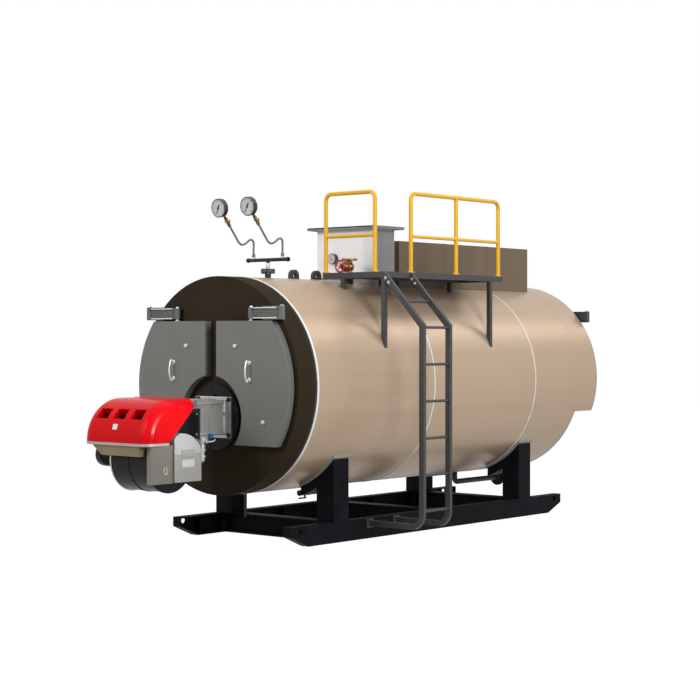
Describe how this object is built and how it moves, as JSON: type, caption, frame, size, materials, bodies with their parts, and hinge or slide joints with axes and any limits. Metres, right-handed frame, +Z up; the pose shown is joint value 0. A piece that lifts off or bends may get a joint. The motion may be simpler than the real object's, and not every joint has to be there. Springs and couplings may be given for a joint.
{
  "type": "industrial boiler",
  "caption": "Packaged horizontal fire-tube boiler on a skid, with a burner, davit-hung smokebox doors, gauges, a railed platform, a ladder, a tank and a flue casing.",
  "frame": {"origin": "ground level under the middle of the skid, on the underside of the middle cross beam", "axes": "+Z up, the boiler's axis along Y with the burner at -Y, the ladder and platform at +X"},
  "size_m": [2.5298, 6.537, 3.441],
  "materials": {
    "cladding": "brushed satin bronze-tan cladding",
    "front_brown": "matt dark brown enamel",
    "door_grey": "satin grey enamel",
    "bright_trim": "bright steel trim",
    "hinge_steel": "galvanised steel",
    "skid_black": "rough black enamel",
    "pad_green": "pale grey-green primer",
    "platform_grey": "satin dark grey enamel",
    "rail_yellow": "gloss safety yellow",
    "hood_red": "gloss red",
    "burner_black": "satin black",
    "burner_alloy": "cast alloy",
    "chute_khaki": "satin khaki",
    "damper_grey": "matt light grey",
    "damper_white": "matt off-white",
    "pipe_black": "matt black",
    "siphon_steel": "drawn steel",
    "brass": "turned brass",
    "gauge_black": "satin black",
    "valve_bronze": "cast bronze",
    "wheel_red": "gloss crimson",
    "tank_white": "satin white",
    "tank_lid": "satin grey",
    "casing_taupe": "satin taupe",
    "tube_plate": "sooty plate"
  },
  "bodies": {
    "root": {"skid_runners": "skid_black", "cross_beams": "skid_black", "saddles": "skid_black", "saddle_pads": "pad_green", "shell_front_course": "cladding", "shell_middle_course": "cladding", "shell_rear_course": "cladding", "seam_bands": "bright_trim", "front_drum": "front_brown", "front_plate": "front_brown", "tube_plate": "tube_plate", "burner_throat": "tube_plate", "rear_end_plate": "front_brown", "rear_smokebox": "cladding", "rear_cover": "front_brown", "rear_hinges": "hinge_steel", "burner_flange": "burner_black", "burner_mount_plate": "burner_alloy", "burner_head": "burner_alloy", "burner_body": "burner_black", "burner_hood": "hood_red", "burner_base": "bright_trim", "air_chute": "chute_khaki", "fan_volute": "burner_black", "volute_cover": "chute_khaki", "fan_motor": "burner_black", "damper_box": "damper_grey", "damper_lid": "damper_white", "gas_valve": "burner_alloy", "gauge_stand": "pipe_black", "gauge_siphons": "siphon_steel", "gauge_cocks": "brass", "gauge_cases": "gauge_black", "lifting_lugs": "pipe_black", "steam_nozzle": "pipe_black", "steam_valve": "valve_bronze", "valve_handwheel": "wheel_red", "platform_frame": "platform_grey", "platform_deck": "platform_grey", "platform_struts": "platform_grey", "front_railing": "rail_yellow", "rear_railing": "rail_yellow", "ladder_stiles": "platform_grey", "ladder_rungs": "platform_grey", "water_tank": "tank_white", "tank_lid": "tank_lid", "tank_bearers": "tank_lid", "flue_casing": "casing_taupe", "blowdown_pipe": "pipe_black", "drain_valves": "pipe_black", "door_brackets": "hinge_steel"},
    "left_davit": {"left_davit": "hinge_steel"},
    "right_davit": {"right_davit": "hinge_steel"},
    "left_door": {"left_door": "door_grey", "left_door_fittings": "hinge_steel"},
    "right_door": {"right_door": "door_grey", "right_door_fittings": "hinge_steel"}
  },
  "joints": [
    {"name": "right_davit_swing", "type": "hinge", "parent": "root", "child": "right_davit", "pos_m": [0.88, -2.52, 2.213], "axis": [0, 0, 1], "range_deg": [0, 90]},
    {"name": "right_door_swivel", "type": "hinge", "parent": "right_davit", "child": "right_door", "pos_m": [0.492, -2.52, 2.213], "axis": [0, 0, -1], "range_deg": [0, 90]},
    {"name": "left_davit_swing", "type": "hinge", "parent": "root", "child": "left_davit", "pos_m": [-0.88, -2.52, 2.213], "axis": [0, 0, -1], "range_deg": [0, 90]},
    {"name": "left_door_swivel", "type": "hinge", "parent": "left_davit", "child": "left_door", "pos_m": [-0.492, -2.52, 2.213], "axis": [0, 0, 1], "range_deg": [0, 90]}
  ],
  "couplings": [
    {"joint": "right_door_swivel", "follows": "right_davit_swing", "ratio": 1},
    {"joint": "left_door_swivel", "follows": "left_davit_swing", "ratio": 1}
  ]
}
